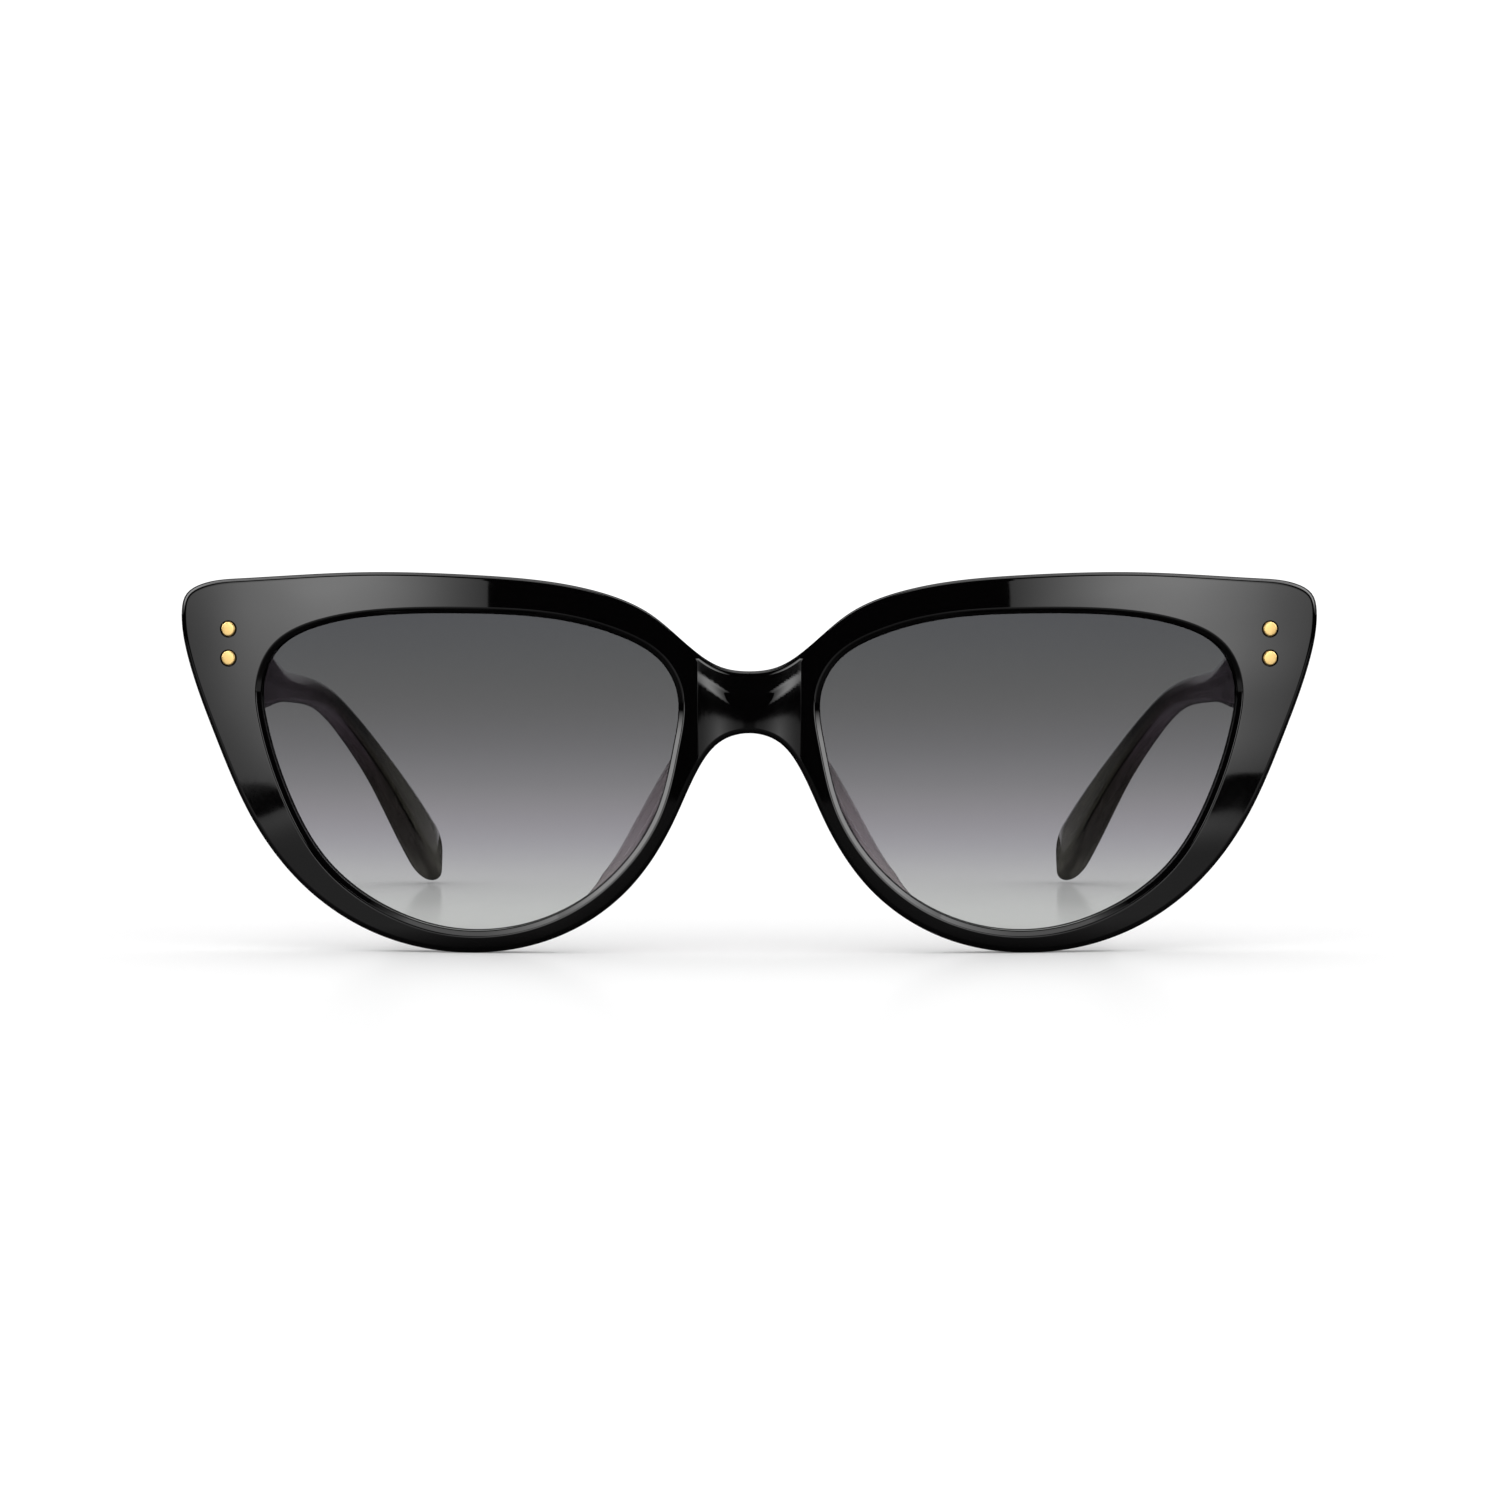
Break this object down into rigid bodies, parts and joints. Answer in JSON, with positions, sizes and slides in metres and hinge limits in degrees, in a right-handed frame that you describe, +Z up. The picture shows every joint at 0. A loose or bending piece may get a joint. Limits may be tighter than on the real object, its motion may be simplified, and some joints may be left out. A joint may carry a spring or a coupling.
{
  "type": "cat eye sunglasses",
  "caption": "Cat eye sunglasses: a bowed black front with graduated grey lenses, riveted folding temples, nose pads and wired, drop-tipped arms.",
  "frame": {"origin": "middle of the footprint, at the level of the lowest point of the rims", "axes": "+Z up, +Y from the front back along the open temples, +X across the face towards the right-hand side as seen from the front"},
  "size_m": [0.143, 0.1456, 0.0474],
  "materials": {
    "frame_black": "polished black acetate",
    "temple_horn": "polished smoky translucent acetate",
    "pad_acetate": "polished translucent acetate",
    "lens_tint": "graduated grey tint, darker at the top",
    "rivet_gold": "gold plated, polished",
    "hinge_steel": "satin nickel silver",
    "screw_steel": "bright turned steel",
    "core_wire": "drawn wire"
  },
  "bodies": {
    "front": {"front_frame": "frame_black", "lens_left": "lens_tint", "lens_right": "lens_tint", "nose_pad_left": "pad_acetate", "nose_pad_right": "pad_acetate", "hinge_front_leaf_left": "hinge_steel", "hinge_front_leaf_right": "hinge_steel", "hinge_screw_left": "screw_steel", "hinge_screw_right": "screw_steel", "front_rivet_upper_left": "rivet_gold", "front_rivet_lower_left": "rivet_gold", "front_rivet_upper_right": "rivet_gold", "front_rivet_lower_right": "rivet_gold"},
    "left_temple": {"temple_left": "temple_horn", "temple_core_left": "core_wire", "hinge_temple_leaf_left": "hinge_steel", "temple_rivet_upper_left": "rivet_gold", "temple_rivet_lower_left": "rivet_gold"},
    "right_temple": {"temple_right": "temple_horn", "temple_core_right": "core_wire", "hinge_temple_leaf_right": "hinge_steel", "temple_rivet_upper_right": "rivet_gold", "temple_rivet_lower_right": "rivet_gold"}
  },
  "joints": [
    {"name": "left_temple_fold", "type": "hinge", "parent": "front", "child": "left_temple", "pos_m": [-0.0628, -0.05776, 0.03838], "axis": [0, 0, -1], "range_deg": [0, 84]},
    {"name": "right_temple_fold", "type": "hinge", "parent": "front", "child": "right_temple", "pos_m": [0.0628, -0.05776, 0.03838], "axis": [0, 0, 1], "range_deg": [0, 79]}
  ]
}
